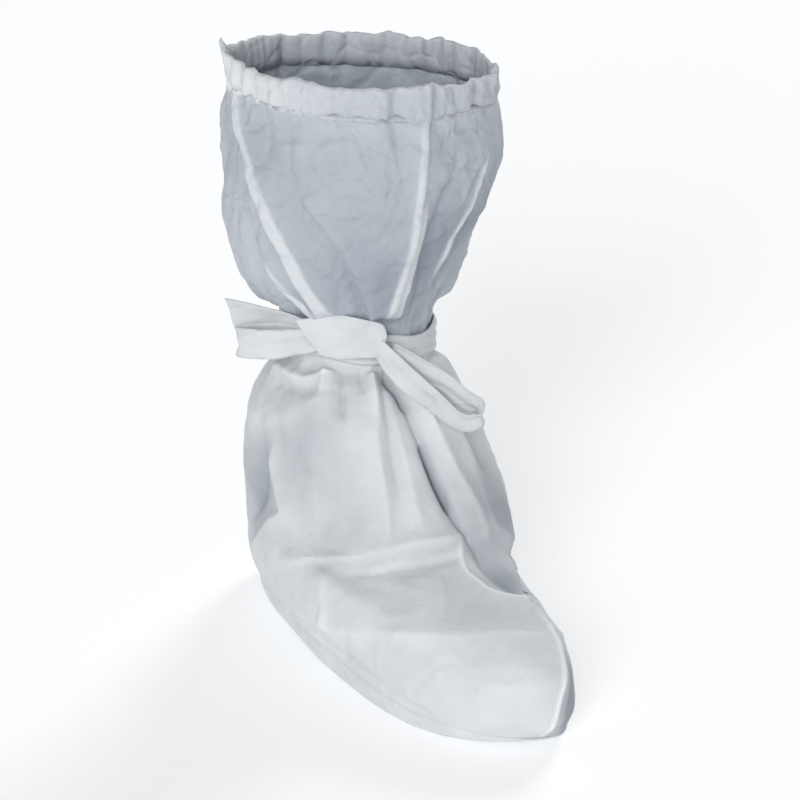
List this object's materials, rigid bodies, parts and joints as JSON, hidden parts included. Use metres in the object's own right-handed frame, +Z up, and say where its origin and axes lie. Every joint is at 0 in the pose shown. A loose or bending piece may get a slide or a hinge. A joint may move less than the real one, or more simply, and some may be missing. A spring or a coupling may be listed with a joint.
{
  "type": "boot cover",
  "caption": "Disposable white laminate boot cover as worn: loose foot and shaft gathered at the ankle by a tied strip with a bow, film sole and ruffled elastic hem.",
  "frame": {"origin": "middle of the box around the cover without its bow, on the floor under the sole", "axes": "+X from heel to toe, +Y to the outer side of a left foot, +Z up"},
  "size_m": [0.3378, 0.1786, 0.3676],
  "materials": {
    "laminate": "matt white film laminate, slightly see-through",
    "sole_film": "matt white film",
    "tie_strip": "matt white folded laminate"
  },
  "bodies": {
    "root": {"upper": "laminate", "top_hem": "laminate", "sole": "sole_film", "tie_band": "tie_strip", "tie_knot": "tie_strip", "tie_loop_left": "tie_strip", "tie_loop_right": "tie_strip", "tie_tail_left": "tie_strip", "tie_tail_right": "tie_strip"}
  },
  "joints": []
}
